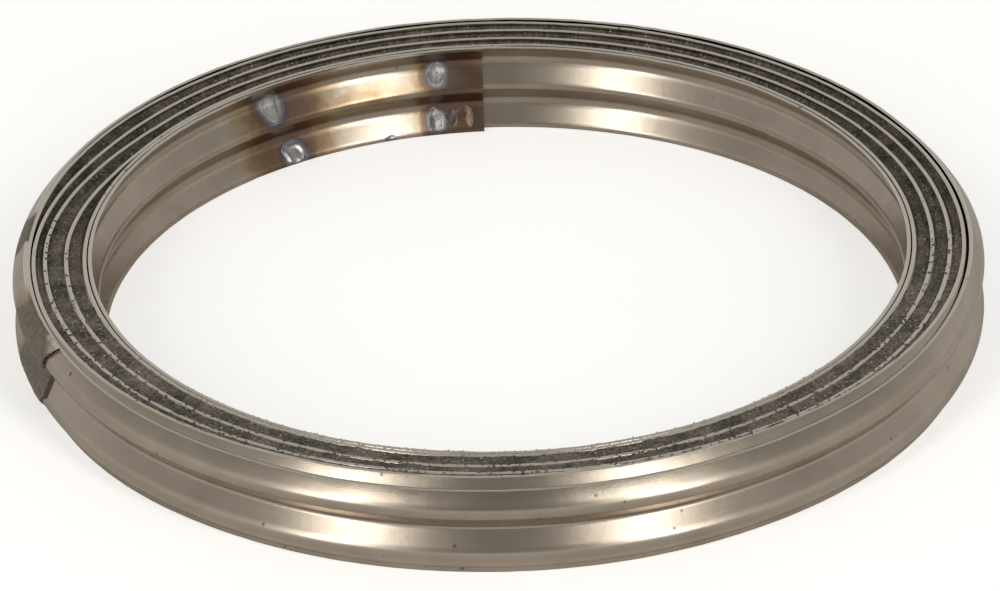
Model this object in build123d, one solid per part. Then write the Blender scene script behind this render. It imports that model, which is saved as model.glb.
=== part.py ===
"""Spiral wound gasket: a rolled stainless strip wound over a graphite ribbon.

The strip has two lobes and an upright foot. It is wound a little over six turns. The
graphite ribbon lies between the second and the fifth turn. Spot welds hold both ends
of the strip. All sizes are in millimetres. The ring's axis is +Z and it lies on Z = 0.
"""
from build123d import *
import math
import os

# Strip, as rolled before winding
strip_thickness = 0.20        # metal, square to its faces
foot_height = 0.35            # upright foot along the bottom edge
lower_flank_height = 1.40     # from the foot up to the lower crest
lobe_pitch = 3.30             # lower crest to upper crest
upper_flank_height = 1.35     # from the upper crest to the top edge
flank_angle = 40.0            # flanks from upright, in degrees
crest_bend_radius = 1.00      # outer face of a crest
groove_bend_radius = 0.30     # outer face of the groove between the lobes, and of the foot's bend

# Winding
first_crest_radius = 28.40    # outer crest of the innermost turn
turn_clearance = 0.09         # between bare turns, along the radius
spring_off = 0.50             # the last turn stands off by this on the +X side
strip_start = 92.0            # azimuth of the inner end, in degrees
tail_end = 206.0              # azimuth of the outer end

# Graphite ribbon
ribbon_thickness = [0.88, 1.02, 0.40]   # in its first, second and third turn, along the radius
seat_clearance = 0.03                   # graphite to metal, each side
ribbon_recess = 0.10                    # below both edges of the strip
ribbon_start = 155.0                    # azimuths of its two ends, in degrees
ribbon_end = 152.0

# Spot welds: azimuth, and share of the strip's height
weld_diameter = 1.40
start_welds = [(98.0, 0.70), (98.5, 0.14), (124.5, 0.72), (121.5, 0.14)]
tail_welds = [(174.0, 0.80), (197.0, 0.75)]

# Torn outer end: how far each point lies back from the end, and its share of the strip's height
torn_edge = [(0.0, 1.0), (2.8, 0.55), (2.0, 0.46), (1.7, 0.34), (2.6, 0.2), (2.9, 0.0)]

# Worked out from the sizes above
flank = math.radians(flank_angle)
lower_crest_height = foot_height + lower_flank_height
upper_crest_height = lower_crest_height + lobe_pitch
strip_height = upper_crest_height + upper_flank_height
lobe_depth = math.tan(flank) * lobe_pitch / 2
radial_thickness = strip_thickness / math.cos(flank)
bare_pitch = radial_thickness + turn_clearance
ribbon_pitch = [radial_thickness + 2 * seat_clearance + thick for thick in ribbon_thickness]


def crest_radii():
    """Crest radius at each crossing of the X axis, in winding order, from +X to -X and back."""
    radius = first_crest_radius
    radii = [radius - bare_pitch, radius, radius]
    for pitch in [bare_pitch] + ribbon_pitch + [bare_pitch, bare_pitch]:
        radius += pitch
        radii += [radius, radius]
    radii[-3] += spring_off
    return radii


def wave_line(shift, bottom, top):
    """The strip's middle line in section, moved out by shift, with +X outwards and the crest at 0."""
    rounding = 1 / math.cos(flank) - 1
    crest = crest_bend_radius * rounding + (shift - strip_thickness / 2) / math.cos(flank)
    foot = crest - math.tan(flank) * lower_flank_height
    crest_bend = crest_bend_radius - strip_thickness / 2 + shift
    groove_bend = groove_bend_radius + strip_thickness / 2 - shift
    corners = [
        (foot, bottom),
        (foot, foot_height),
        (crest, lower_crest_height),
        (crest - lobe_depth, lower_crest_height + lobe_pitch / 2),
        (crest, upper_crest_height),
        (crest - math.tan(flank) * (top - upper_crest_height), top),
    ]
    return FilletPolyline(corners, radius=[groove_bend, crest_bend, groove_bend, crest_bend])


def closed_section(outer, inner):
    """Face between two lines that run from the bottom to the top of the section."""
    foot = Line(outer @ 0, inner @ 0)
    head = Line(outer @ 1, inner @ 1)
    return make_face([outer, head, inner, foot])


def strip_section():
    half = strip_thickness / 2
    return closed_section(wave_line(half, 0, strip_height), wave_line(-half, 0, strip_height))


def section_inside(shift, bottom, top):
    """Everything from the shifted middle line inwards, deeper than the thickest ribbon."""
    depth = 2 * lobe_depth + 2 * max(ribbon_pitch)
    return closed_section(wave_line(shift, bottom, top), Line((-depth, bottom), (-depth, top)))


def circle(radii, half_turn):
    """Centre on the X axis and radius of one half turn's crest.

    Even half turns are the back ones, from +X to -X. Odd ones are the front ones.
    """
    begin = radii[half_turn]
    finish = radii[half_turn + 1]
    side = 1 if half_turn % 2 == 0 else -1
    return side * (begin - finish) / 2, (begin + finish) / 2


def wind(section, radii, first, start, last, end):
    """Sweep a section from azimuth start in one half turn to azimuth end in a later one."""
    arcs = []
    for half_turn in range(first, last + 1):
        centre, radius = circle(radii, half_turn)
        opening = 180 * (half_turn % 2)
        begin = start if half_turn == first else opening
        finish = end if half_turn == last else opening + 180
        arcs.append(CenterArc((centre, 0), radius, begin, finish - begin))
    centre, radius = circle(radii, first)
    placed = Pos(centre + radius, 0, 0) * (Plane.XZ * section)
    return sweep(placed.rotate(Axis((centre, 0, 0), (0, 0, 1)), start), path=Wire(arcs))


def between_turns(gap, bottom, top, radii, half_turn, start, end):
    """The space outside one half turn and inside the next, a gap away from both middle lines."""
    outer = half_turn + 2
    body = wind(section_inside(-gap, bottom, top), radii, outer, start, outer, end)
    core = section_inside(gap, bottom - foot_height, top + foot_height)
    return body - wind(core, radii, half_turn, start - 1, half_turn, end + 1)


def radial_plane(radii, half_turn, azimuth, height):
    """Plane on the crest of a half turn that faces outwards, with its X axis in winding order."""
    centre, radius = circle(radii, half_turn)
    angle = math.radians(azimuth)
    outward = Vector(math.cos(angle), math.sin(angle), 0)
    origin = Vector(centre, 0, height) + outward * radius
    return Plane(origin=origin, x_dir=Vector(0, 0, 1).cross(outward), z_dir=outward)


def weld(radii, half_turn, azimuth, share):
    """Nugget from the middle of one turn's metal to the middle of the next turn's."""
    space = between_turns(0, 0, strip_height, radii, half_turn, azimuth - 4, azimuth + 4)
    core = Cylinder(weld_diameter / 2, 4 * lobe_depth)
    return space & radial_plane(radii, half_turn, azimuth, share * strip_height) * core


def torn_tail(radii, last):
    """The last stretch of strip, with its end torn along an uneven line."""
    tail = wind(strip_section(), radii, last, 180, last, tail_end)
    corners = [(-back, share * strip_height) for back, share in torn_edge]
    corners += [(lobe_pitch, 0), (lobe_pitch, strip_height)]
    scrap = extrude(make_face(Polyline(corners, close=True)), 2 * lobe_depth, both=True)
    return tail - radial_plane(radii, last, tail_end, 0) * scrap


def winding_strip():
    radii = crest_radii()
    last = len(radii) - 2
    pieces = [
        wind(strip_section(), radii, 0, strip_start, last - 1, 180),
        torn_tail(radii, last),
    ]
    for azimuth, share in start_welds:
        pieces.append(weld(radii, 0, azimuth, share))
    for azimuth, share in tail_welds:
        half_turn = last - 3 if azimuth < 180 else last - 2
        pieces.append(weld(radii, half_turn, azimuth, share))
    return pieces[0].fuse(*pieces[1:])


def graphite_filler():
    """Ribbon between the second and the fifth turn of the strip."""
    radii = crest_radii()
    gap = strip_thickness / 2 + seat_clearance
    first = 2
    last = first + 2 * len(ribbon_thickness)
    pieces = []
    for half_turn in range(first, last + 1):
        opening = 180 * (half_turn % 2)
        start = ribbon_start if half_turn == first else opening
        end = ribbon_end if half_turn == last else opening + 180
        pieces.append(
            between_turns(gap, ribbon_recess, strip_height - ribbon_recess, radii, half_turn, start, end)
        )
    return pieces[0].fuse(*pieces[1:])


os.makedirs("parts", exist_ok=True)
nodes = {
    "winding_strip": winding_strip(),
    "graphite_filler": graphite_filler(),
}
for name, solid in nodes.items():
    export_step(solid, f"parts/{name}.step")
    box = solid.bounding_box()
    print(f"{name}: {solid.volume:.1f} mm3, {box.size.X:.2f} x {box.size.Y:.2f} x {box.size.Z:.2f} mm")
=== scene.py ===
# %% [markdown]
# # A spiral wound gasket
# A long stainless strip, rolled to a wave, is wound a little over six turns. A graphite ribbon
# is wound in with it. Such a shape can be swept, revolved or bent; here every point knows its
# angle along the winding and its height, and one rule sends it to its place. The same angle and
# height then tell the materials where they are.

# %% Load the part
import math

import bpy
import bmesh
import numpy as np
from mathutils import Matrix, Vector
from mathutils.bvhtree import BVHTree


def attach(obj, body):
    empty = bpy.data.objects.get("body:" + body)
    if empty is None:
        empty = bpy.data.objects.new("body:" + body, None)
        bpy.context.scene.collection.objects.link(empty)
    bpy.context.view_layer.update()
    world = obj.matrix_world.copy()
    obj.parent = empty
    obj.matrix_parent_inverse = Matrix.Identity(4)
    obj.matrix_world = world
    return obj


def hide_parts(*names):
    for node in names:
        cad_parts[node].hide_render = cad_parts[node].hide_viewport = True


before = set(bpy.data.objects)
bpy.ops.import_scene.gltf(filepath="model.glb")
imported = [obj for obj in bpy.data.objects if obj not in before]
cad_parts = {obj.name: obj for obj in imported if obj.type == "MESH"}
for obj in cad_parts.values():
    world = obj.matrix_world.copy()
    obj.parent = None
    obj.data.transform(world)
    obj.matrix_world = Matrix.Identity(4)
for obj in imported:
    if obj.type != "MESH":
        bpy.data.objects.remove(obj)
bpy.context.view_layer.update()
MM = 0.001
print("frame loaded:", sorted(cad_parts))

# %% [markdown]
# ## Building node trees from a script
# Node trees are long to write out, so a small helper adds one node, sets its properties and
# fills its sockets. A value that is itself a socket becomes a link.

# %% Node helpers
class Tree:
    """Adds nodes to one tree, each call returning the new node."""

    def __init__(self, tree):
        self.tree = tree

    def add(self, kind, *values, **props):
        made = self.tree.nodes.new(kind)
        for key, value in props.items():
            setattr(made, key, value)
        for slot, value in enumerate(values):
            self.fill(made.inputs[slot], value)
        return made

    def fill(self, socket, value):
        if isinstance(value, bpy.types.Node):
            value = value.outputs[0]
        if isinstance(value, bpy.types.NodeSocket):
            self.tree.links.new(value, socket)
        elif value is not None:
            socket.default_value = value

    def put(self, made, **values):
        """Fills sockets by name, with _ for a space."""
        for key, value in values.items():
            self.fill(made.inputs[key.replace("_", " ")], value)
        return made

    def math(self, operation, *values):
        return self.add("ShaderNodeMath", *values, operation=operation).outputs[0]

    def ramp(self, value, low, high, bottom=0.0, top=1.0, smooth=True):
        """Smooth or straight change from bottom to top as the value goes from low to high."""
        kind = "SMOOTHSTEP" if smooth else "LINEAR"
        return self.add("ShaderNodeMapRange", value, low, high, bottom, top, interpolation_type=kind).outputs[0]

    def vector(self, x, y, z=0.0):
        return self.add("ShaderNodeCombineXYZ", x, y, z).outputs[0]

    def noise(self, vector, scale, detail=2.0, rough=0.5, distortion=0.0):
        """Noise around zero, from about -0.5 to 0.5."""
        made = self.add("ShaderNodeTexNoise")
        self.put(made, Vector=vector, Scale=scale, Detail=detail, Roughness=rough, Distortion=distortion)
        return self.math("SUBTRACT", made.outputs[0], 0.5)


def new_tree(name, kind, inputs=(), outputs=()):
    """Node group with named sockets: (name, socket type, default)."""
    tree = bpy.data.node_groups.new(name, kind)
    for label, socket_type, default in inputs:
        made = tree.interface.new_socket(label, in_out="INPUT", socket_type=socket_type)
        if default is not None:
            made.default_value = default
    for label, socket_type in outputs:
        tree.interface.new_socket(label, in_out="OUTPUT", socket_type=socket_type)
    t = Tree(tree)
    ins = tree.nodes.new("NodeGroupInput").outputs
    outs = tree.nodes.new("NodeGroupOutput").inputs
    return t, ins, outs


def blank(name):
    """Object with an empty mesh for a node tree to fill."""
    made = bpy.data.objects.new(name, bpy.data.meshes.new(name))
    bpy.context.scene.collection.objects.link(made)
    return made


def grow(target, group, **values):
    """Runs a node tree on an object and keeps the result as its mesh."""
    modifier = target.modifiers.new(group.name, "NODES")
    modifier.node_group = group
    for item in group.interface.items_tree:
        key = item.name.replace(" ", "_")
        if item.in_out == "INPUT" and key in values:
            modifier[item.identifier] = values[key]
    target.update_tag()
    graph = bpy.context.evaluated_depsgraph_get()
    graph.update()
    made = bpy.data.meshes.new_from_object(target.evaluated_get(graph), depsgraph=graph)
    target.modifiers.remove(modifier)
    target.data = made
    made.name = target.name
    return target


def tally(*things):
    for thing in things:
        corners = np.empty(len(thing.data.vertices) * 3)
        thing.data.vertices.foreach_get("co", corners)
        corners = corners.reshape(-1, 3) * 1000
        triangles = sum(len(f.vertices) - 2 for f in thing.data.polygons)
        print(thing.name, triangles, "triangles, mm", corners.min(0).round(2), corners.max(0).round(2))


print("helpers ready")

# %% [markdown]
# ## The strip in section
# The strip is rolled before it is wound: an upright foot, then two outward lobes with a sharp
# groove between them. Straight flanks join round bends. The section could be drawn as a curve by
# hand; here its corners are listed and each is rounded with its own radius, once for the outer
# and once for the inner face, so that the metal keeps its thickness round every bend.

# %% Section of the strip
THICK = 0.20
FLANK = math.radians(40)
HEIGHT = 6.40
LOWER_CREST, UPPER_CREST = 1.75, 5.05
GROOVE = (LOWER_CREST + UPPER_CREST) / 2


def fillet(corners, radii, steps):
    """Rounds each inner corner of a line with its own radius."""
    points = [corners[0]]
    for before, corner, after, radius, count in zip(corners, corners[1:], corners[2:], radii, steps):
        a, c, b = (np.array(p, float) for p in (before, corner, after))
        into, out = (a - c) / np.linalg.norm(a - c), (b - c) / np.linalg.norm(b - c)
        half = math.acos(np.clip(into @ out, -1, 1)) / 2
        bisector = (into + out) / np.linalg.norm(into + out)
        centre = c + bisector * radius / math.sin(half)
        start = c + into * radius / math.tan(half) - centre
        end = c + out * radius / math.tan(half) - centre
        turn = math.atan2(start[0] * end[1] - start[1] * end[0], start @ end)
        for k in range(count + 1):
            angle = turn * k / count
            cos, sin = math.cos(angle), math.sin(angle)
            points.append(centre + (start[0] * cos - start[1] * sin, start[0] * sin + start[1] * cos))
    points.append(corners[-1])
    return [tuple(p) for p in points]


def wave(shift, bottom, top, steps=(2, 6, 5, 6)):
    """Line of the strip moved out by shift from its middle, with the outer crest at 0."""
    crest = 1.0 / math.cos(FLANK) - 1.0 + (shift - THICK / 2) / math.cos(FLANK)
    foot = crest - math.tan(FLANK) * 1.40
    corners = [
        (foot, bottom),
        (foot, 0.35),
        (crest, LOWER_CREST),
        (crest - math.tan(FLANK) * (GROOVE - LOWER_CREST), GROOVE),
        (crest, UPPER_CREST),
        (crest - math.tan(FLANK) * (top - UPPER_CREST), top),
    ]
    return fillet(corners, [0.4 - shift, 0.9 + shift, 0.4 - shift, 0.9 + shift], steps)


def strip_outline():
    """Closed section of the strip with rounded-off edges."""
    ease = 0.05
    outer = wave(THICK / 2, ease, HEIGHT - ease)
    inner = wave(-THICK / 2, ease, HEIGHT - ease)
    top_out, top_in = (outer[-1][0] - ease, HEIGHT), (inner[-1][0] + ease, HEIGHT)
    low_out, low_in = (outer[0][0] - ease, 0.0), (inner[0][0] + ease, 0.0)
    return outer + [top_out, top_in] + inner[::-1] + [low_in, low_out]


def outline_object(name, points):
    """Helper object: a closed loop of edges in the XY plane, for a node tree to read."""
    count = len(points)
    mesh = bpy.data.meshes.new(name)
    edges = [(i, (i + 1) % count) for i in range(count)]
    mesh.from_pydata([(x, y, 0.0) for x, y in points], edges, [])
    made = bpy.data.objects.new(name, mesh)
    bpy.context.scene.collection.objects.link(made)
    return made


strip_loop = outline_object("strip_loop", strip_outline())
print("strip section:", len(strip_loop.data.vertices), "points")

# %% [markdown]
# ## How far out each turn lies
# A perfect spiral would grow evenly. A real roll doesn't: it steps out where the next turn climbs
# over the one before, mostly at the back left, and some turns are pressed in again at the front.
# Each row below is one smooth step in or out between two angles. A node group adds them all up,
# and the strip and the ribbon read the same sum.

# %% Radius along the winding
FIRST_RADIUS = 28.049
CLIMBS = [  # from angle, to angle, rise in mm; angles in degrees along the winding
    (0, 180, 0.351), (290, 360, 0.30), (365, 450, -0.10), (450, 540, 0.15), (650, 718, 0.30),
    (730, 800, -0.08), (868, 900, 1.02), (990, 1075, 0.28),
    (1085, 1150, -0.25), (1222, 1260, 1.38), (1270, 1345, -0.52), (1350, 1410, 0.62), (1410, 1440, -0.06),
    (1445, 1490, -0.20), (1586, 1622, 0.95), (1632, 1700, -0.82), (1700, 1722, -0.10), (1725, 1800, 1.13),
    (1890, 1960, 0.15), (1990, 2040, -0.30), (2095, 2160, 0.62), (2165, 2240, 0.10), (2290, 2340, -0.22),
]
START, END = 91.5, 2365.0


def radius_group():
    t, ins, outs = new_tree("winding_radius", "GeometryNodeTree",
                            [("Angle", "NodeSocketFloat", 0.0), ("First Radius", "NodeSocketFloat", FIRST_RADIUS)],
                            [("Radius", "NodeSocketFloat")])
    total = ins["First Radius"]
    for low, high, rise in CLIMBS:
        total = t.math("ADD", total, t.ramp(ins["Angle"], low, high, 0.0, rise))
    t.fill(outs["Radius"], total)
    return t.tree


radius_rule = radius_group()
print("radius rule:", len(CLIMBS), "steps")

# %% [markdown]
# ## From angle and height to a place
# A second group turns an angle, a distance from the crest and a height into a point. It also holds
# what handling did to the roll: the last turn slipped down at the front with its foot splayed, the
# foot of the first turn leans in, and nothing is quite round. Keeping this in one group means that
# the strip and the ribbon can't disagree about it.

# %% Place on the winding
def place_group():
    """Angle, offset from the crest and height of a point, to its place in metres."""
    t, ins, outs = new_tree("place_on_winding", "GeometryNodeTree",
                            [("Angle", "NodeSocketFloat", 0.0), ("Crest", "NodeSocketFloat", 30.0),
                             ("Offset", "NodeSocketFloat", 0.0), ("Height", "NodeSocketFloat", 0.0),
                             ("Slip", "NodeSocketFloat", 0.45), ("Lean", "NodeSocketFloat", 0.6),
                             ("Unevenness", "NodeSocketFloat", 0.05)],
                            [("Position", "NodeSocketVector")])
    angle, height = ins["Angle"], ins["Height"]
    turn = t.math("RADIANS", angle)
    cos, sin = t.math("COSINE", turn), t.math("SINE", turn)
    share = t.math("DIVIDE", height, HEIGHT)
    # the last turn has slipped down along the front
    front = t.math("MULTIPLY", t.ramp(angle, 1990, 2025), t.ramp(angle, 2118, 2160, 1.0, 0.0))
    slip = t.math("MULTIPLY", t.math("MULTIPLY", front, ins["Slip"]), share)
    # the foot of the innermost turn leans inwards, most at -X
    inmost = t.math("MULTIPLY", t.ramp(angle, 30, 180), t.ramp(angle, 190, 350, 1.0, 0.0))
    low = t.math("SUBTRACT", 1.0, share)
    lean = t.math("MULTIPLY", t.math("MULTIPLY", inmost, ins["Lean"]), low)
    # and the foot of the last turn stands further out than its pressed-in top
    splay = t.math("MULTIPLY", t.math("MULTIPLY", front, ins["Slip"]), t.math("MULTIPLY", low, 0.8))
    lean = t.math("SUBTRACT", lean, splay)
    # hand-made unevenness: slow for the whole ring, a little for each turn
    slow = t.noise(t.vector(cos, sin, t.math("MULTIPLY", share, 0.6)), 1.6, detail=1.0)
    own = t.noise(t.vector(cos, sin, t.math("MULTIPLY", angle, 0.0035)), 4.0, detail=1.0)
    wobble = t.math("MULTIPLY", t.math("ADD", slow, t.math("MULTIPLY", own, 0.6)), ins["Unevenness"])
    radius = t.math("ADD", t.math("ADD", ins["Crest"], ins["Offset"]), t.math("SUBTRACT", wobble, lean))
    lift = t.math("MULTIPLY", t.math("MULTIPLY", own, share), t.math("MULTIPLY", ins["Unevenness"], 2.0))
    z = t.math("ADD", t.math("SUBTRACT", height, slip), lift)
    in_mm = t.vector(t.math("MULTIPLY", radius, cos), t.math("MULTIPLY", radius, sin), z)
    t.fill(outs["Position"], t.add("ShaderNodeVectorMath", in_mm, None, None, MM, operation="SCALE"))
    return t.tree


place_rule = place_group()
print("place rule:", place_rule.name)

# %% [markdown]
# ## Winding the strip
# A straight line of points stands for the way along the strip and the section's loop for the way
# round it. Curve to Mesh joins them, and a Set Position moves every point to its place by its
# angle, offset and height, which are kept as attributes for the material. Points lie closer
# together towards the outer end, where the torn edge needs them.

# %% Strip tree
TORN = [  # share of the height, how far the torn edge is drawn back there
    (0.0, 1.0), (0.21, 0.92), (0.34, 0.60), (0.45, 0.64), (0.55, 0.95),
    (0.70, 0.55), (0.88, 0.42), (0.97, 0.22), (1.0, 0.20),
]


def swept(t, loop, columns, angle_of):
    """Loop carried along a line; returns the mesh with its angle, offset and height stored."""
    line = t.add("GeometryNodeCurvePrimitiveLine")
    path = t.put(t.add("GeometryNodeResampleCurve"), Curve=line, Count=columns)
    share = t.add("GeometryNodeSplineParameter").outputs["Factor"]
    path = store(t, path, "angle", angle_of(share))
    info = t.put(t.add("GeometryNodeObjectInfo"), Object=loop)
    ring = t.add("GeometryNodeMeshToCurve", info.outputs["Geometry"])
    spot = t.add("ShaderNodeSeparateXYZ", t.add("GeometryNodeInputPosition"))
    ring = store(t, ring, "offset", spot.outputs[0])
    ring = store(t, ring, "height", spot.outputs[1])
    made = t.add("GeometryNodeCurveToMesh")
    t.put(made, Curve=path, Profile_Curve=ring, Fill_Caps=True)
    return made


def store(t, geometry, name, value):
    made = t.add("GeometryNodeStoreNamedAttribute", data_type="FLOAT", domain="POINT")
    return t.put(made, Geometry=geometry, Name=name, Value=value)


def named(t, name):
    return t.put(t.add("GeometryNodeInputNamedAttribute", data_type="FLOAT"), Name=name).outputs[0]


def finish_tree(t, geometry, ins, outs):
    real = t.add("GeometryNodeRealizeInstances", geometry)
    t.fill(outs["Geometry"], t.put(t.add("GeometryNodeSetMaterial"), Geometry=real, Material=ins["Material"]))


def strip_tree():
    t, ins, outs = new_tree("wind_strip", "GeometryNodeTree",
                            [("Section", "NodeSocketObject", None), ("Columns", "NodeSocketInt", 1560),
                             ("Start Angle", "NodeSocketFloat", START), ("End Angle", "NodeSocketFloat", END),
                             ("Slip", "NodeSocketFloat", 0.45), ("Lean", "NodeSocketFloat", 0.6),
                             ("Unevenness", "NodeSocketFloat", 0.05), ("Tear", "NodeSocketFloat", 3.0),
                             ("Seed", "NodeSocketFloat", 3.0), ("Material", "NodeSocketMaterial", None)],
                            [("Geometry", "NodeSocketGeometry")])

    def angle_of(share):
        spread = t.math("SUBTRACT", 1.0, t.math("POWER", t.math("SUBTRACT", 1.0, share), 1.22))
        reach = t.math("SUBTRACT", ins["End Angle"], ins["Start Angle"])
        return t.math("MULTIPLY_ADD", spread, reach, ins["Start Angle"])

    mesh = swept(t, ins["Section"], ins["Columns"], angle_of)
    angle, height, offset = named(t, "angle"), named(t, "height"), named(t, "offset")
    # the torn end: the last stretch is drawn back by an amount that depends on the height
    curve = t.add("ShaderNodeFloatCurve", 1.0, t.math("DIVIDE", height, HEIGHT))
    line = curve.mapping.curves[0]
    line.points[0].location, line.points[1].location = TORN[0], TORN[-1]
    for point in TORN[1:-1]:
        line.points.new(*point)
    for point in line.points:
        point.handle_type = "VECTOR"
    curve.mapping.update()
    jag = t.noise(t.vector(height, ins["Seed"]), 2.3, detail=3.0, rough=0.7)
    back = t.math("MULTIPLY", t.math("ADD", curve.outputs[0], t.math("MULTIPLY", jag, 0.10)), ins["Tear"])
    near = t.ramp(angle, t.math("SUBTRACT", ins["End Angle"], 14.0), ins["End Angle"])
    drawn = t.math("MULTIPLY", t.math("MULTIPLY", back, 1.77), near)
    mesh = store(t, mesh, "angle", t.math("SUBTRACT", angle, drawn))
    crest = t.add("GeometryNodeGroup", node_tree=radius_rule)
    t.put(crest, Angle=angle)
    # the hook at the foot of the torn end is bent outwards
    last = t.ramp(angle, t.math("SUBTRACT", ins["End Angle"], 5.0), ins["End Angle"])
    hook = t.math("MULTIPLY", t.ramp(height, 0.0, 1.6, 1.0, 0.0), last)
    # metal melted and heaped up where the tail was welded down
    bump_a = t.math("MULTIPLY", t.ramp(angle, 2346, 2352), t.ramp(height, 0.6, 2.4))
    bump_b = t.math("MULTIPLY", t.ramp(height, 5.6, 6.3, 1.0, 0.35), t.ramp(angle, 2362, 2368, 1.0, 0.6))
    lump = t.noise(t.vector(t.math("MULTIPLY", angle, 0.5), height, ins["Seed"]), 0.9, detail=3.0, rough=0.6)
    heap = t.math("MULTIPLY", t.math("MULTIPLY", bump_a, bump_b), t.math("MULTIPLY_ADD", lump, 0.9, 0.10))
    hook = t.math("ADD", hook, heap)
    # nicks along the cut edges
    bite = t.noise(t.vector(angle, t.math("MULTIPLY", offset, 0.6), ins["Seed"]), 1.1, detail=4.0, rough=0.65)
    rim = t.math("ADD", t.ramp(height, HEIGHT - 0.25, HEIGHT), t.ramp(height, 0.0, 0.2, 1.0, 0.0))
    ragged = t.math("MULTIPLY", t.math("MULTIPLY", bite, rim), 0.09)
    place = t.add("GeometryNodeGroup", node_tree=place_rule)
    t.put(place, Angle=angle, Crest=crest, Offset=t.math("MULTIPLY_ADD", hook, 0.35, offset),
          Height=t.math("ADD", height, ragged), Slip=ins["Slip"], Lean=ins["Lean"], Unevenness=ins["Unevenness"])
    mesh = t.put(t.add("GeometryNodeSetPosition"), Geometry=mesh, Position=place)
    finish_tree(t, mesh, ins, outs)
    return t.tree


strip_rule = strip_tree()
print("tree:", strip_rule.name)

# %% [markdown]
# ## Winding the graphite
# The ribbon fills the room between one turn and the next, a whole turn further on. Each of its
# points keeps its share of the way across that room instead of an offset. Its top is pressed and
# crumbly, so grain is added there as real relief, deeper where the ribbon has shrunk back.

# %% Graphite tree
RIBBON_START, RIBBON_END = 515.0, 1614.0
STAND_OFF = 0.17  # from a turn's middle line to the graphite, mm


def ribbon_outline():
    """Closed section of the ribbon: X is the share of the way across, Y the height."""
    top, low = HEIGHT - 0.1, 0.1
    across = np.linspace(0, 1, 12)
    rows = [1.2, LOWER_CREST, 2.3, GROOVE - 0.35, GROOVE, GROOVE + 0.35, 4.5, UPPER_CREST, 5.6, 6.0]
    points = [(s, top) for s in across]
    points += [(1.0, z) for z in rows[::-1]]
    points += [(1.0, low), (0.66, low), (0.33, low), (0.0, low)]
    points += [(0.0, z) for z in rows]
    return points


ribbon_loop = outline_object("ribbon_loop", ribbon_outline())


def wave_curve(t, height):
    """The middle line's offset from the outer crest at a height, read from a curve."""
    line = wave(0.0, 0.0, HEIGHT, steps=(2, 3, 2, 3))
    curve = t.add("ShaderNodeFloatCurve", 1.0, t.math("DIVIDE", height, HEIGHT))
    points = curve.mapping.curves[0].points
    shares = [(z / HEIGHT, (x + 2.0) / 2.0) for x, z in line]
    points[0].location, points[1].location = shares[0], shares[-1]
    for share in shares[1:-1]:
        points.new(*share)
    for point in points:
        point.handle_type = "VECTOR"
    curve.mapping.update()
    return t.math("MULTIPLY_ADD", curve.outputs[0], 2.0, -2.0)


def ribbon_tree():
    t, ins, outs = new_tree("wind_ribbon", "GeometryNodeTree",
                            [("Section", "NodeSocketObject", None), ("Columns", "NodeSocketInt", 2750),
                             ("Start Angle", "NodeSocketFloat", RIBBON_START), ("End Angle", "NodeSocketFloat", RIBBON_END),
                             ("Unevenness", "NodeSocketFloat", 0.05), ("Back Recess", "NodeSocketFloat", 0.62),
                             ("Grain", "NodeSocketFloat", 0.22), ("Seed", "NodeSocketFloat", 5.0),
                             ("Material", "NodeSocketMaterial", None)],
                            [("Geometry", "NodeSocketGeometry")])

    def angle_of(share):
        return t.math("MULTIPLY_ADD", share, t.math("SUBTRACT", ins["End Angle"], ins["Start Angle"]), ins["Start Angle"])

    mesh = swept(t, ins["Section"], ins["Columns"], angle_of)
    angle, height, across = named(t, "angle"), named(t, "height"), named(t, "offset")
    inner = t.put(t.add("GeometryNodeGroup", node_tree=radius_rule), Angle=angle)
    outer = t.put(t.add("GeometryNodeGroup", node_tree=radius_rule), Angle=t.math("ADD", angle, 360.0))
    side = wave_curve(t, height)
    near = t.math("ADD", inner.outputs[0], STAND_OFF)
    far = t.math("SUBTRACT", outer.outputs[0], STAND_OFF)
    crest = t.math("MULTIPLY_ADD", across, t.math("SUBTRACT", far, near), near)
    # the top: recessed round the back, level with the strip round the front
    turn = t.math("RADIANS", angle)
    cos, sin = t.math("COSINE", turn), t.math("SINE", turn)
    back = t.ramp(sin, -0.55, 0.55)
    recess = t.math("MULTIPLY_ADD", back, ins["Back Recess"], -0.08)
    upper = t.ramp(height, HEIGHT - 0.12, HEIGHT - 0.1)
    spot = t.vector(t.math("MULTIPLY", crest, cos), t.math("MULTIPLY", crest, sin), ins["Seed"])
    coarse = t.noise(spot, 0.55, detail=2.0)
    fine = t.noise(spot, 3.2, detail=4.0, rough=0.75)
    grain = t.math("MULTIPLY_ADD", coarse, 1.4, t.math("MULTIPLY", fine, 1.6))
    dip = t.math("MULTIPLY", t.math("SUBTRACT", t.math("MULTIPLY", grain, ins["Grain"]), recess), upper)
    place = t.add("GeometryNodeGroup", node_tree=place_rule)
    t.put(place, Angle=angle, Crest=crest, Offset=side, Height=t.math("ADD", height, dip),
          Slip=0.0, Lean=0.0, Unevenness=ins["Unevenness"])
    mesh = t.put(t.add("GeometryNodeSetPosition"), Geometry=mesh, Position=place)
    finish_tree(t, mesh, ins, outs)
    return t.tree


ribbon_rule = ribbon_tree()
print("tree:", ribbon_rule.name)

# %% [markdown]
# ## Heat tint
# Steel that was welded shows a thin oxide whose colour follows the heat: straw furthest out, then
# brown, purple, blue and a silvery grey at the weld. The group takes how near a point is to the
# weld and gives a colour and a mask, so the strip and the nuggets on it share one effect.

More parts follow.
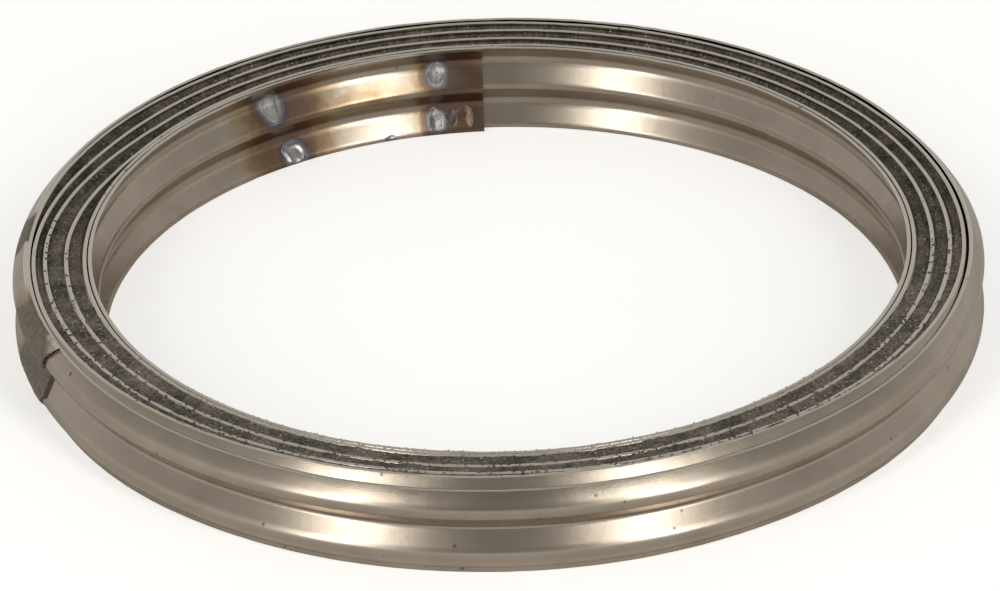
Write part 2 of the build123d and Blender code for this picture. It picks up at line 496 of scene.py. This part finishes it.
# %% Heat tint
def heat_tint_group():
    t, ins, outs = new_tree("heat_tint", "ShaderNodeTree",
                            [("Heat", "NodeSocketFloat", 0.0), ("Mottle", "NodeSocketFloat", 0.2)],
                            [("Color", "NodeSocketColor"), ("Mask", "NodeSocketFloat")])
    where = t.add("ShaderNodeTexCoord").outputs["Object"]
    spots = t.noise(where, 900.0, detail=4.0, rough=0.6)
    heat = t.math("MULTIPLY_ADD", spots, ins["Mottle"], ins["Heat"])
    ramp = t.add("ShaderNodeValToRGB", heat)
    stops = [(0.0, (0.42, 0.36, 0.29, 1)), (0.20, (0.42, 0.32, 0.205, 1)), (0.40, (0.25, 0.165, 0.105, 1)),
             (0.56, (0.20, 0.135, 0.108, 1)), (0.68, (0.15, 0.13, 0.13, 1)), (0.82, (0.25, 0.255, 0.275, 1)),
             (1.0, (0.58, 0.55, 0.52, 1))]
    ramp.color_ramp.elements[0].position, ramp.color_ramp.elements[0].color = stops[0]
    ramp.color_ramp.elements[1].position, ramp.color_ramp.elements[1].color = stops[-1]
    for position, color in stops[1:-1]:
        ramp.color_ramp.elements.new(position).color = color
    t.fill(outs["Color"], ramp.outputs[0])
    t.fill(outs["Mask"], t.ramp(heat, 0.02, 0.25))
    return t.tree


heat_tint = heat_tint_group()
print("shader group:", heat_tint.name)

# %% [markdown]
# ## Specks
# Dirt on the steel and painted glints in the graphite are the same effect: a few cells of a
# Voronoi texture are picked, and each gets a dot. The group gives only a mask; each material
# chooses its own colour for it.

# %% Specks
def speck_group():
    """Scattered specks, as a mask."""
    t, ins, outs = new_tree("specks", "ShaderNodeTree",
                            [("Scale", "NodeSocketFloat", 900.0), ("Amount", "NodeSocketFloat", 0.1)],
                            [("Mask", "NodeSocketFloat")])
    where = t.add("ShaderNodeTexCoord").outputs["Object"]
    cells = t.add("ShaderNodeTexVoronoi")
    t.put(cells, Vector=where, Scale=ins["Scale"])
    chosen = t.math("LESS_THAN", t.add("ShaderNodeSeparateColor", cells.outputs["Color"]).outputs[0], ins["Amount"])
    dot = t.ramp(cells.outputs["Distance"], 0.15, 0.40, 1.0, 0.0)
    t.fill(outs["Mask"], t.math("MULTIPLY", chosen, dot))
    return t.tree


specks = speck_group()
print("shader group:", specks.name)


# %% [markdown]
# ## Helpers for materials
# Three short functions: one opens a new material, one reads a stored attribute, one mixes two
# colours. They keep the recipes that follow down to what is special in each.

# %% Material helpers
def material(name):
    made = bpy.data.materials.new(name)
    made.use_nodes = True
    t = Tree(made.node_tree)
    return made, t, made.node_tree.nodes["Principled BSDF"]


def attribute(t, name):
    return t.add("ShaderNodeAttribute", attribute_name=name).outputs["Fac"]


def blend(t, factor, a, b, kind="MIX"):
    made = t.add("ShaderNodeMix", data_type="RGBA", blend_type=kind)
    t.fill(made.inputs[0], factor)
    t.fill(made.inputs[6], a)
    t.fill(made.inputs[7], b)
    return made.outputs[2]


print("material helpers ready")

# %% [markdown]
# ## Stainless strip
# A metal with a warm grey tint. Rolling leaves fine streaks along the strip, so its noise is
# stretched by using the distance along the strip and the height as coordinates. The top cut edge
# is rougher than the rolled faces, and it is painted paler: partly the bare cut metal, partly a
# painted highlight for the light the upturned edge catches. The heat tint spreads from each weld,
# and the torn end is scorched to a dull crust.

# %% Stainless strip
WELDS = [  # angle, height, reach along, reach up, heat
    (98.3, 4.5, 1.9, 1.9, 0.98), (98.6, 0.85, 1.7, 1.7, 0.98), (95.8, 4.2, 4.2, 6.2, 0.54), (95.0, 1.4, 4.4, 5.4, 0.54),
    (124.6, 4.6, 2.5, 2.3, 0.98), (121.5, 0.5, 2.6, 2.2, 0.92), (122.6, 3.8, 6.0, 6.0, 0.49), (122.6, 1.4, 5.6, 5.4, 0.49),
    (111.0, 3.5, 7.0, 1.5, 0.26),
    (2334.0, 5.3, 2.8, 2.2, 0.50), (2355.5, 3.8, 5.2, 4.4, 0.52),
]
SCORCHED = [(2357.0, 3.9, 4.6, 3.3), (2360.0, 1.2, 3.4, 2.2), (2334.5, 5.5, 2.4, 1.4)]


def away(t, angle, height, at_angle, at_height, reach_along, reach_up):
    """How far a point lies from a place on the strip, as a share of the reach each way."""
    across = t.math("DIVIDE", t.math("MULTIPLY", t.math("SUBTRACT", angle, at_angle), 0.52), reach_along)
    up = t.math("DIVIDE", t.math("SUBTRACT", height, at_height), reach_up)
    return t.math("SQRT", t.math("ADD", t.math("POWER", across, 2.0), t.math("POWER", up, 2.0)))


def stainless():
    made, t, shader = material("stainless_strip")
    angle, height = attribute(t, "angle"), attribute(t, "height")
    along = t.math("MULTIPLY", angle, 0.53)
    flat = t.vector(along, height, 0.0)
    streaks = t.noise(t.vector(t.math("MULTIPLY", along, 0.12), t.math("MULTIPLY", height, 6.0)), 1.0, detail=5.0, rough=0.6)
    cloud = t.noise(flat, 0.25, detail=3.0, rough=0.6, distortion=0.4)
    base = blend(t, t.ramp(cloud, -0.25, 0.25), (0.425, 0.368, 0.305, 1), (0.50, 0.436, 0.365, 1))
    base = blend(t, t.ramp(streaks, 0.0, 0.5, 0.0, 0.35), base, (0.58, 0.51, 0.43, 1))
    # the top cut edge is painted paler: partly bare cut metal, partly a painted highlight for the light it catches; it
    # is also made rougher below
    edge = t.ramp(height, HEIGHT - 0.06, HEIGHT - 0.03)
    base = blend(t, edge, base, (0.84, 0.79, 0.72, 1))
    heat = None
    for a, h, reach_a, reach_h, hot in WELDS:
        far = away(t, angle, height, a, h, reach_a, reach_h)
        near = t.math("MULTIPLY", t.ramp(far, 0.28, 1.0, 1.0, 0.0, smooth=False), hot)
        heat = near if heat is None else t.math("MAXIMUM", heat, near)
    tint = t.put(t.add("ShaderNodeGroup", node_tree=heat_tint), Heat=heat, Mottle=0.35)
    base = blend(t, tint.outputs["Mask"], base, tint.outputs["Color"])
    dirt = t.put(t.add("ShaderNodeGroup", node_tree=specks), Scale=2200.0, Amount=0.012)
    base = blend(t, t.math("MULTIPLY", dirt.outputs["Mask"], 0.8), base, (0.12, 0.10, 0.08, 1))
    burnt = None
    ragged = t.noise(flat, 1.3, detail=4.0, rough=0.7)
    for a, h, reach_a, reach_h in SCORCHED:
        far = away(t, angle, height, a, h, reach_a, reach_h)
        mask = t.ramp(t.math("MULTIPLY_ADD", ragged, 0.55, far), 0.80, 1.0, 1.0, 0.0)
        burnt = mask if burnt is None else t.math("MAXIMUM", burnt, mask)
    patches = t.noise(flat, 3.0, detail=5.0, rough=0.7)
    crust = blend(t, t.ramp(patches, -0.3, 0.3), (0.095, 0.078, 0.062, 1), (0.25, 0.215, 0.175, 1))
    base = blend(t, burnt, base, crust)
    t.fill(shader.inputs["Base Color"], base)
    t.fill(shader.inputs["Metallic"], t.math("MULTIPLY_ADD", burnt, -0.75, 1.0))
    rough = t.math("MULTIPLY_ADD", streaks, 0.06, 0.25)
    rough = t.math("MULTIPLY_ADD", edge, 0.08, t.math("MULTIPLY_ADD", burnt, 0.32, rough))
    t.fill(shader.inputs["Roughness"], rough)
    grain = t.noise(flat, 9.0, detail=3.0, rough=0.7)
    relief = t.math("ADD", t.math("MULTIPLY", streaks, 0.5), grain)
    bump = t.put(t.add("ShaderNodeBump"), Height=relief, Strength=0.22, Distance=0.00002)
    t.fill(shader.inputs["Normal"], bump)
    return made


steel = stainless()
print("material:", steel.name)

# %% [markdown]
# ## Graphite
# Cut graphite is dark, dull and crumbly. Fine noise moves its colour and its relief together, so
# that raised grains are painted lighter, a painted highlight on their tops, while a slower cloud
# adds random tone. A few specks are painted pale as glints. It isn't a metal to the eye, so its
# metallic value stays at zero.

# %% Graphite
def graphite():
    made, t, shader = material("graphite")
    where = t.add("ShaderNodeTexCoord").outputs["Object"]
    grain = t.noise(where, 4200.0, detail=4.0, rough=0.75)
    cloud = t.noise(where, 500.0, detail=3.0)
    # painted highlight: the colour follows the bump's grain, so raised grains are painted lighter; the cloud part is
    # random tone
    base = blend(t, t.ramp(t.math("ADD", grain, t.math("MULTIPLY", cloud, 0.5)), -0.20, 0.24),
                 (0.028, 0.023, 0.018, 1), (0.25, 0.215, 0.18, 1))
    # painted glints: a few specks are painted pale where shiny graphite flakes would catch the light
    pale = t.put(t.add("ShaderNodeGroup", node_tree=specks), Scale=5200.0, Amount=0.10)
    base = blend(t, pale.outputs["Mask"], base, (0.62, 0.58, 0.52, 1))
    t.fill(shader.inputs["Base Color"], base)
    shader.inputs["Metallic"].default_value = 0.0
    t.fill(shader.inputs["Roughness"], t.math("MULTIPLY_ADD", grain, 0.25, 0.62))
    bump = t.put(t.add("ShaderNodeBump"), Height=grain, Strength=0.6, Distance=0.00008)
    t.fill(shader.inputs["Normal"], bump)
    return made


carbon = graphite()
print("material:", carbon.name)

# %% [markdown]
# ## Rubbed graphite
# Where it has been wiped over the steel, graphite is a thin pale film. Half of the metal shows
# through, so the metallic value lies between the two.

# %% Rubbed graphite
def rubbed_graphite():
    """Graphite wiped thinly over the edges of the strip, paler and half shiny."""
    made, t, shader = material("rubbed_graphite")
    where = t.add("ShaderNodeTexCoord").outputs["Object"]
    grain = t.noise(where, 3000.0, detail=4.0, rough=0.7)
    base = blend(t, t.ramp(grain, -0.25, 0.25), (0.30, 0.265, 0.225, 1), (0.62, 0.57, 0.50, 1))
    dots = t.put(t.add("ShaderNodeGroup", node_tree=specks), Scale=4200.0, Amount=0.10)
    t.fill(shader.inputs["Base Color"], blend(t, dots.outputs["Mask"], base, (0.10, 0.085, 0.07, 1)))
    shader.inputs["Metallic"].default_value = 0.35
    t.fill(shader.inputs["Roughness"], t.math("MULTIPLY_ADD", grain, 0.3, 0.5))
    t.fill(shader.inputs["Normal"], t.put(t.add("ShaderNodeBump"), Height=grain, Strength=0.4, Distance=0.00005))
    return made


rubbed = rubbed_graphite()
print("material:", rubbed.name)

# %% [markdown]
# ## Weld metal
# The nuggets use the same heat tint as the strip round them. Each point knows its share of the way
# to the rim, and the heat falls from the middle to the rim, where it meets the strip's own tint.

# %% Weld metal
def weld_metal():
    """Melted and cooled steel: silvery in the middle, darker and bluer at its rim."""
    made, t, shader = material("weld_metal")
    rim = attribute(t, "rim")
    core = attribute(t, "core")
    heat = t.ramp(rim, 0.2, 1.0, core, t.math("MULTIPLY", core, 0.84), smooth=False)
    tint = t.put(t.add("ShaderNodeGroup", node_tree=heat_tint), Heat=heat, Mottle=0.5)
    dots = t.put(t.add("ShaderNodeGroup", node_tree=specks), Scale=4800.0, Amount=0.12)
    t.fill(shader.inputs["Base Color"], blend(t, dots.outputs["Mask"], tint.outputs["Color"], (0.10, 0.08, 0.07, 1)))
    shader.inputs["Metallic"].default_value = 1.0
    shader.inputs["Roughness"].default_value = 0.30
    grain = t.noise(t.add("ShaderNodeTexCoord").outputs["Object"], 2500.0, detail=4.0)
    t.fill(shader.inputs["Normal"], t.put(t.add("ShaderNodeBump"), Height=grain, Strength=0.4, Distance=0.00006))
    return made


melted = weld_metal()
print("material:", melted.name)

# %% [markdown]
# ## Running the two trees
# Each tree is put on an empty object, its inputs are set, and the result is kept as a plain mesh.
# The sweep may come out inside out, which a negative volume tells, and then all faces are turned.
# Bends are shaded smooth, and edges sharper than the limit stay crisp.

# %% Wind the strip and the ribbon
SHARP = math.radians(50)
strip = grow(blank("strip"), strip_rule, Section=strip_loop, Material=steel)
ribbon = grow(blank("ribbon"), ribbon_rule, Section=ribbon_loop, Material=carbon)
for thing in (strip, ribbon):
    outward = bmesh.new()
    outward.from_mesh(thing.data)
    if outward.calc_volume(signed=True) < 0:
        print("flip", thing.name)
        bmesh.ops.reverse_faces(outward, faces=outward.faces)
    outward.to_mesh(thing.data)
    outward.free()
    thing.data.shade_smooth()
    thing.data.set_sharp_from_angle(angle=SHARP)
tally(strip, ribbon)

# %% [markdown]
# ## Spot welds
# The inner end of the strip is held by spot welds in two groups, with some spatter beside them.
# Each nugget is a small lens of metal laid on the wall: rays from the ring's axis find the wall,
# and the lens stands off it towards the axis. A dished one has a raised ring round a sunken
# middle, as a crater has. The share of the way out to the rim is kept for the material.

# %% Weld nuggets
BORE_RADIUS, SUNK = 28.0, 0.06  # mm; how deep a nugget's hidden side lies in the wall


def nugget(name, wall, azimuth, height, along, up, bulge, dish, core, seed):
    """Lens of metal on the inner wall; sizes in mm."""
    rings, spokes = 12, 30
    rng = np.random.default_rng(seed)
    waves = rng.uniform(-1, 1, (4, 2))
    points, rims, faces = [], [], []
    for side in (1, -1):
        for ring in range(rings + 1):
            share = ring / rings
            for spoke in range(spokes if ring else 1):
                turn = math.tau * spoke / spokes
                swing = sum(a * math.cos(k * turn) + b * math.sin(k * turn) for k, (a, b) in enumerate(waves, 1))
                ragged = 1 + 0.12 * swing / 2
                x, y = share * ragged * along * math.cos(turn), share * ragged * up * math.sin(turn)
                angle = math.radians(azimuth) + x / BORE_RADIUS
                heading = Vector((math.cos(angle), math.sin(angle), 0))
                level = max(0.02, height + y)
                place = wall.ray_cast(Vector((0, 0, level * MM)), heading)[0]
                dome = bulge * (1 - share ** 2) ** 2 - dish * max(0.0, 1 - (share / 0.62) ** 2)
                dome += bulge * 0.25 * math.sin(3 * turn + seed) * share * (1 - share)
                off = dome if side > 0 else -SUNK
                points.append(place - heading * off * MM)
                rims.append(share)
    layer = 1 + rings * spokes
    for side in (0, 1):
        base = side * layer
        for spoke in range(spokes):
            nxt = (spoke + 1) % spokes
            fan = [base, base + 1 + spoke, base + 1 + nxt]
            faces.append(fan[::-1] if side else fan)
            for ring in range(rings - 1):
                a, b = base + 1 + ring * spokes, base + 1 + (ring + 1) * spokes
                quad = [a + spoke, b + spoke, b + nxt, a + nxt]
                faces.append(quad[::-1] if side else quad)
    edge = 1 + (rings - 1) * spokes
    for spoke in range(spokes):
        nxt = (spoke + 1) % spokes
        faces.append([edge + spoke, layer + edge + spoke, layer + edge + nxt, edge + nxt])
    made = blank(name)
    made.data.from_pydata([tuple(p) for p in points], [], faces)
    made.data.attributes.new("rim", "FLOAT", "POINT").data.foreach_set("value", rims)
    made.data.attributes.new("core", "FLOAT", "POINT").data.foreach_set("value", [core] * len(rims))
    made.data.materials.append(melted)
    made.data.shade_smooth()
    face_out(made)
    return made


def face_out(thing):
    """Turns all faces outwards."""
    shell = bmesh.new()
    shell.from_mesh(thing.data)
    bmesh.ops.recalc_face_normals(shell, faces=shell.faces)
    if shell.calc_volume(signed=True) < 0:
        bmesh.ops.reverse_faces(shell, faces=shell.faces)
    shell.to_mesh(thing.data)
    shell.free()


wall = BVHTree.FromPolygons([v.co for v in strip.data.vertices], [tuple(f.vertices) for f in strip.data.polygons])
NUGGETS = [  # azimuth, height, half width, half height, bulge, dish, heat in the middle
    (98.3, 4.55, 0.62, 0.70, 0.025, 0.00, 0.95), (98.8, 0.90, 0.50, 0.80, 0.030, 0.00, 0.92),
    (124.7, 4.65, 0.66, 0.95, 0.025, 0.02, 1.0), (121.4, 0.66, 1.00, 0.85, 0.22, 0.26, 0.98),
    (94.4, 0.95, 0.70, 0.66, 0.06, 0.00, 0.5), (96.2, 1.00, 0.46, 0.50, 0.04, 0.03, 0.72),
    (105.9, 0.24, 0.46, 0.22, 0.05, 0.00, 0.9),
]
nuggets = [nugget(f"weld_{i}", wall, *facts, seed=i + 4) for i, facts in enumerate(NUGGETS)]
tally(*nuggets)

# %% [markdown]
# ## Crumbs and flakes
# Cut graphite breaks off in crumbs, and along the front some was rubbed flat over the edges of
# the innermost turns. One tree scatters small flattened lumps over the faces of another piece
# above a height and between two angles. It is used three times: for the crumbs, for the pale
# flakes and for the dark ones that break up the edges of the strip.

# %% Scatter tree
def scatter_tree():
    t, ins, outs = new_tree("scatter_lumps", "GeometryNodeTree",
                            [("On", "NodeSocketObject", None), ("Above", "NodeSocketFloat", 6.2),
                             ("From Angle", "NodeSocketFloat", 0.0), ("To Angle", "NodeSocketFloat", 2400.0),
                             ("Frontness", "NodeSocketFloat", 0.2), ("Density", "NodeSocketFloat", 6.0e6),
                             ("Size", "NodeSocketFloat", 0.1), ("Flatness", "NodeSocketFloat", 0.6),
                             ("Seed", "NodeSocketInt", 1), ("Material", "NodeSocketMaterial", None)],
                            [("Geometry", "NodeSocketGeometry")])
    source = t.put(t.add("GeometryNodeObjectInfo"), Object=ins["On"]).outputs["Geometry"]
    angle, height = named(t, "angle"), named(t, "height")
    side = t.math("SINE", t.math("RADIANS", angle))
    patch = t.noise(t.vector(t.math("MULTIPLY", angle, 0.09), 0.0, 2.0), 1.0, detail=2.0)
    chosen = t.math("GREATER_THAN", height, ins["Above"])
    for limit in (t.math("GREATER_THAN", angle, ins["From Angle"]), t.math("LESS_THAN", angle, ins["To Angle"]),
                  t.math("LESS_THAN", t.math("MULTIPLY_ADD", patch, 1.6, side), ins["Frontness"])):
        chosen = t.math("MULTIPLY", chosen, limit)
    density = t.math("MULTIPLY", chosen, ins["Density"])
    points = t.add("GeometryNodeDistributePointsOnFaces", distribute_method="RANDOM")
    t.put(points, Mesh=source, Density=density, Seed=ins["Seed"])
    lump = t.put(t.add("GeometryNodeMeshIcoSphere"), Radius=MM, Subdivisions=2)
    ruffle = t.add("ShaderNodeVectorMath", t.add("GeometryNodeInputPosition"), None, None, 900.0, operation="SCALE")
    bulge = t.math("MULTIPLY_ADD", t.noise(ruffle, 1.3), 1.2, 1.0)
    shaped = t.add("ShaderNodeVectorMath", t.add("GeometryNodeInputPosition"), None, None, bulge, operation="SCALE")
    lump = t.put(t.add("GeometryNodeSetPosition"), Geometry=lump, Position=shaped)
    spread = t.add("FunctionNodeRandomValue", data_type="FLOAT")
    spread.inputs[2].default_value, spread.inputs[3].default_value = 0.3, 1.0
    t.fill(spread.inputs["Seed"], ins["Seed"])
    size = t.math("MULTIPLY", spread.outputs[1], ins["Size"])
    turn = t.add("FunctionNodeRandomValue", data_type="FLOAT_VECTOR")
    turn.inputs[1].default_value = (0.5, 0.5, 6.28)
    scale = t.vector(size, t.math("MULTIPLY", size, 0.7), t.math("MULTIPLY", size, ins["Flatness"]))
    placed = t.put(t.add("GeometryNodeInstanceOnPoints"), Points=points.outputs["Points"], Instance=lump,
                   Rotation=turn.outputs[0], Scale=scale)
    finish_tree(t, placed, ins, outs)
    return t.tree


scatter_rule = scatter_tree()
crumbs = grow(blank("crumbs"), scatter_rule, On=ribbon, Above=6.2, Frontness=0.35, Density=5.0e6, Size=0.13,
              Flatness=0.7, Seed=3, Material=carbon)
flakes = grow(blank("flakes"), scatter_rule, On=strip, Above=6.33, From_Angle=190.0, To_Angle=700.0,
              Frontness=-0.62, Density=18.0e6, Size=0.10, Flatness=0.30, Seed=8, Material=rubbed)
ragged = grow(blank("ragged_flakes"), scatter_rule, On=strip, Above=6.33, From_Angle=900.0, To_Angle=1440.0,
              Frontness=0.10, Density=5.0e6, Size=0.16, Flatness=0.35, Seed=5, Material=carbon)
for thing in (crumbs, flakes, ragged):
    thing.data.shade_smooth()
tally(crumbs, flakes, ragged)

# %% [markdown]
# ## Floor
# A pale floor takes the ring's soft shadow. Some emission, for the camera only, lifts it towards
# the white background without lighting the ring from below.

# %% Floor
def floor_piece():
    made = blank("floor")
    mesh, size = made.data, 3.0
    mesh.from_pydata([(-size, -size, 0), (size, -size, 0), (size, size, 0), (-size, size, 0)], [], [(0, 1, 2, 3)])
    look, t, shader = material("pale_floor")
    grain = t.noise(t.add("ShaderNodeTexCoord").outputs["Object"], 60.0, detail=3.0)
    t.fill(shader.inputs["Base Color"], blend(t, t.ramp(grain, -0.3, 0.3), (0.86, 0.86, 0.855, 1), (0.88, 0.88, 0.875, 1)))
    shader.inputs["Roughness"].default_value = 0.8
    path = t.add("ShaderNodeLightPath")
    t.fill(shader.inputs["Emission Strength"], t.math("MULTIPLY", path.outputs["Is Camera Ray"], 0.50))
    shader.inputs["Emission Color"].default_value = (1, 1, 1, 1)
    mesh.materials.append(look)
    return made


floor = floor_piece()
print("floor:", floor.name)

# %% [markdown]
# ## Lights
# A shiny ring shows its lights as bright bands, so their width sets the width of the bands. Two
# narrow, tall area lights stand left and right of the camera and face the ring.

# %% Lights
def soft_box(name, bearing, height, distance, width, tall, level):
    """Area light that faces the ring; bearing in degrees from -Y towards +X."""
    lamp = bpy.data.lights.new(name, "AREA")
    lamp.shape, lamp.size, lamp.size_y = "RECTANGLE", width, tall
    lamp.energy = level * math.pi * width * tall
    lamp.color = (1.0, 0.97, 0.92)
    made = bpy.data.objects.new(name, lamp)
    a, e = math.radians(bearing), math.radians(height)
    made.location = Vector((math.sin(a) * math.cos(e), -math.cos(a) * math.cos(e), math.sin(e))) * distance
    made.rotation_euler = (-made.location).to_track_quat("-Z", "Y").to_euler()
    bpy.context.scene.collection.objects.link(made)
    return made


soft_box("box_left", -38.0, 27.0, 0.9, 0.19, 0.78, 5.0)
soft_box("box_right", 36.0, 27.0, 0.9, 0.22, 0.78, 5.0)
print("lights:", len(bpy.data.lights))

# %% [markdown]
# ## World
# The steel also mirrors the room: lighter near the floor, darker overhead, with a dark patch in
# front. The camera itself sees plain white instead, by the Light Path switch.

# %% World
world = bpy.data.worlds.new("studio")
bpy.context.scene.world = world
world.use_nodes = True
w = Tree(world.node_tree)
background = world.node_tree.nodes["Background"]
ray = w.add("ShaderNodeLightPath")
up = w.add("ShaderNodeSeparateXYZ", w.add("ShaderNodeTexCoord").outputs["Generated"])
room = blend(w, w.ramp(up.outputs[2], 0.1, 0.75), (0.62, 0.60, 0.57, 1), (0.34, 0.33, 0.31, 1))
side = w.ramp(w.math("ABSOLUTE", up.outputs[0]), 0.26, 0.42, 1.0, 0.0)
front = w.math("MULTIPLY", w.ramp(up.outputs[1], -0.35, -0.1, 1.0, 0.0), w.ramp(up.outputs[2], 0.08, 0.25))
room = blend(w, w.math("MULTIPLY", front, side), room, (0.20, 0.195, 0.18, 1))
w.fill(background.inputs["Color"], blend(w, ray.outputs["Is Camera Ray"], room, (1, 1, 1, 1)))

print("world:", world.name)

# %% [markdown]
# ## Camera
# A long lens from some way off keeps the far side of the ring nearly as large as the near side.
# The view looks down by about thirty degrees, with a slight roll.

# %% Camera
camera_data = bpy.data.cameras.new("camera")
camera = bpy.data.objects.new("camera", camera_data)
bpy.context.scene.collection.objects.link(camera)
LOOK_DOWN = math.radians(29.99)
camera.location = (0.0, -0.45695 * math.cos(LOOK_DOWN), 0.45695 * math.sin(LOOK_DOWN) + 3.25 * MM)
camera.rotation_euler = (math.pi / 2 - LOOK_DOWN, 0.0, 0.0)
camera.rotation_euler.rotate_axis("Z", -0.0242)
camera_data.sensor_width, camera_data.lens = 36.0, 242.8
camera_data.shift_x, camera_data.shift_y = 0.00207, -0.01537
camera_data.clip_start, camera_data.clip_end = 0.01, 20.0
bpy.context.scene.camera = camera
bpy.context.scene.view_settings.view_transform = "Standard"
print("camera at", [round(c, 3) for c in camera.location])

# %% [markdown]
# ## Handing the pieces over
# The two section loops were only helpers and are removed. Every piece rides the one body, and the
# strip and the ribbon take the place of their plain solids. The bounds of the new pieces are
# gathered.

# %% Hand over
for helper in (strip_loop, ribbon_loop):
    bpy.data.objects.remove(helper, do_unlink=True)
for thing, node, slot in ((strip, "winding_strip", "stainless_strip"), (ribbon, "graphite_filler", "graphite")):
    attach(thing, "root")
    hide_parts(node)
for thing in nuggets + [crumbs, flakes, ragged]:
    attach(thing, "root")

low, high = (Vector(c) for c in ((1e9,) * 3, (-1e9,) * 3))
for thing in [strip, ribbon, crumbs, flakes, ragged] + nuggets:
    for v in thing.data.vertices:
        low = Vector(map(min, low, v.co))
        high = Vector(map(max, high, v.co))
